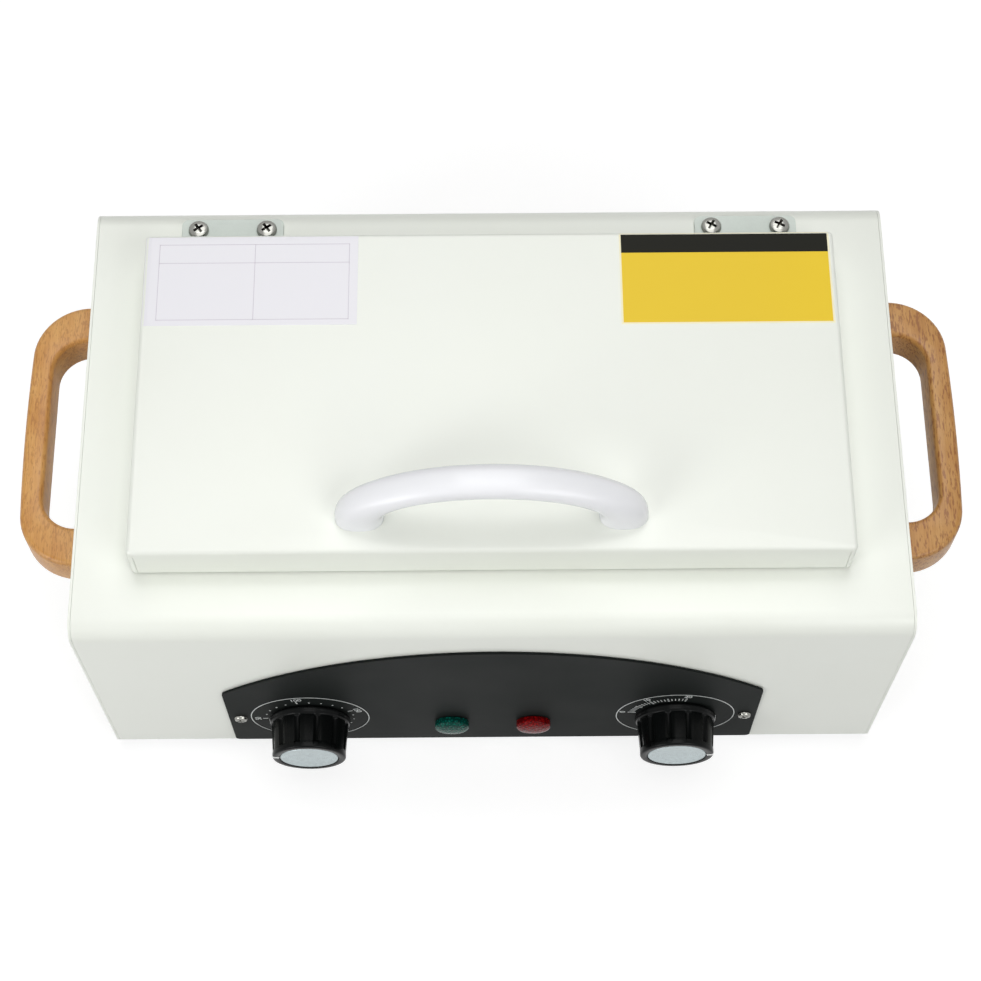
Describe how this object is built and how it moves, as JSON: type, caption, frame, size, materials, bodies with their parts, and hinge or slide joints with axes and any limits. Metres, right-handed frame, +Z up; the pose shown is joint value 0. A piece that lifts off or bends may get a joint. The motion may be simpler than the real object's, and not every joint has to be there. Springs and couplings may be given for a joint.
{
  "type": "dry heat sterilizer",
  "caption": "Low white bench box with a hinged lid, a bow handle on it, beech side handles and a black arched control plate with fluted dial knobs and lamps.",
  "frame": {"origin": "on the standing surface, under the middle of the object's width and depth", "axes": "+X to the right as seen from the front, +Y to the back, +Z up; the control plate faces -Y"},
  "size_m": [0.363, 0.2084, 0.1807],
  "materials": {
    "white_paint": "semi-gloss paint",
    "galvanised_steel": "dull zinc",
    "stainless_steel": "satin",
    "nickel": "bright nickel plate",
    "spun_aluminium": "spun face",
    "copper": "drawn tube",
    "handle_plastic": "glossy moulding",
    "plate_black": "matt paint",
    "knob_black": "glossy moulding",
    "dark_plastic": "matt moulding",
    "pale_plastic": "matt moulding",
    "green_lens": "clear coloured lens",
    "red_lens": "clear coloured lens",
    "foot_rubber": "matt",
    "beech": "clear lacquer",
    "mineral_wool": "fibrous"
  },
  "bodies": {
    "cabinet": {"cover": "white_paint", "side_panel_left": "white_paint", "side_panel_right": "white_paint", "base_plate": "galvanised_steel", "foot_front_left": "foot_rubber", "foot_back_left": "foot_rubber", "foot_front_right": "foot_rubber", "foot_back_right": "foot_rubber", "base_screw_1": "galvanised_steel", "base_screw_2": "galvanised_steel", "base_screw_3": "galvanised_steel", "base_screw_4": "galvanised_steel", "cord_gland": "dark_plastic", "terminal_block": "pale_plastic", "side_handle_left": "beech", "side_handle_right": "beech", "handle_bolt_left_1": "nickel", "handle_bolt_left_2": "nickel", "handle_bolt_right_1": "nickel", "handle_bolt_right_2": "nickel", "chamber_liner": "stainless_steel", "heating_element": "stainless_steel", "heater_clamp": "galvanised_steel", "chamber_wool": "mineral_wool", "thermostat_bulb": "copper", "tray": "stainless_steel", "control_plate": "plate_black", "plate_screw_left": "nickel", "plate_screw_right": "nickel", "thermostat_body": "dark_plastic", "timer_body": "dark_plastic", "lamp_lens_green": "green_lens", "lamp_lens_red": "red_lens", "lamp_holder_green": "pale_plastic", "lamp_holder_red": "pale_plastic", "hinge_leaf_left": "nickel", "hinge_leaf_right": "nickel", "hinge_pin_left": "nickel", "hinge_pin_right": "nickel", "hinge_screw_left_1": "nickel", "hinge_screw_left_2": "nickel", "hinge_screw_right_1": "nickel", "hinge_screw_right_2": "nickel"},
    "lid": {"lid_shell": "white_paint", "lid_liner": "stainless_steel", "lid_wool": "mineral_wool", "lid_handle": "handle_plastic", "lid_handle_screw_left": "nickel", "lid_handle_screw_right": "nickel", "lid_hinge_leaf_left": "nickel", "lid_hinge_leaf_right": "nickel"},
    "temperature_knob": {"temperature_knob": "knob_black", "temperature_knob_cap": "spun_aluminium", "temperature_shaft": "nickel"},
    "timer_knob": {"timer_knob": "knob_black", "timer_knob_cap": "spun_aluminium", "timer_shaft": "nickel"},
    "tray_bail_left": {"tray_bail_left": "nickel"},
    "tray_bail_right": {"tray_bail_right": "nickel"}
  },
  "joints": [
    {"name": "lid_hinge", "type": "hinge", "parent": "cabinet", "child": "lid", "pos_m": [0, 0.07485, 0.1322], "axis": [-1, 0, 0], "range_deg": [0, 95]},
    {"name": "temperature_turn", "type": "hinge", "parent": "cabinet", "child": "temperature_knob", "pos_m": [-0.073, -0.08695, 0.0385], "axis": [0, 1, 0], "range_deg": [-9, 258]},
    {"name": "timer_turn", "type": "hinge", "parent": "cabinet", "child": "timer_knob", "pos_m": [0.073, -0.08695, 0.0385], "axis": [0, 1, 0], "range_deg": [-166, 104]},
    {"name": "tray_bail_left_swing", "type": "hinge", "parent": "cabinet", "child": "tray_bail_left", "pos_m": [-0.1122, 0.0051, 0.0993], "axis": [0, -1, 0], "range_deg": [0, 170]},
    {"name": "tray_bail_right_swing", "type": "hinge", "parent": "cabinet", "child": "tray_bail_right", "pos_m": [0.1122, 0.0051, 0.0993], "axis": [0, 1, 0], "range_deg": [0, 170]}
  ]
}
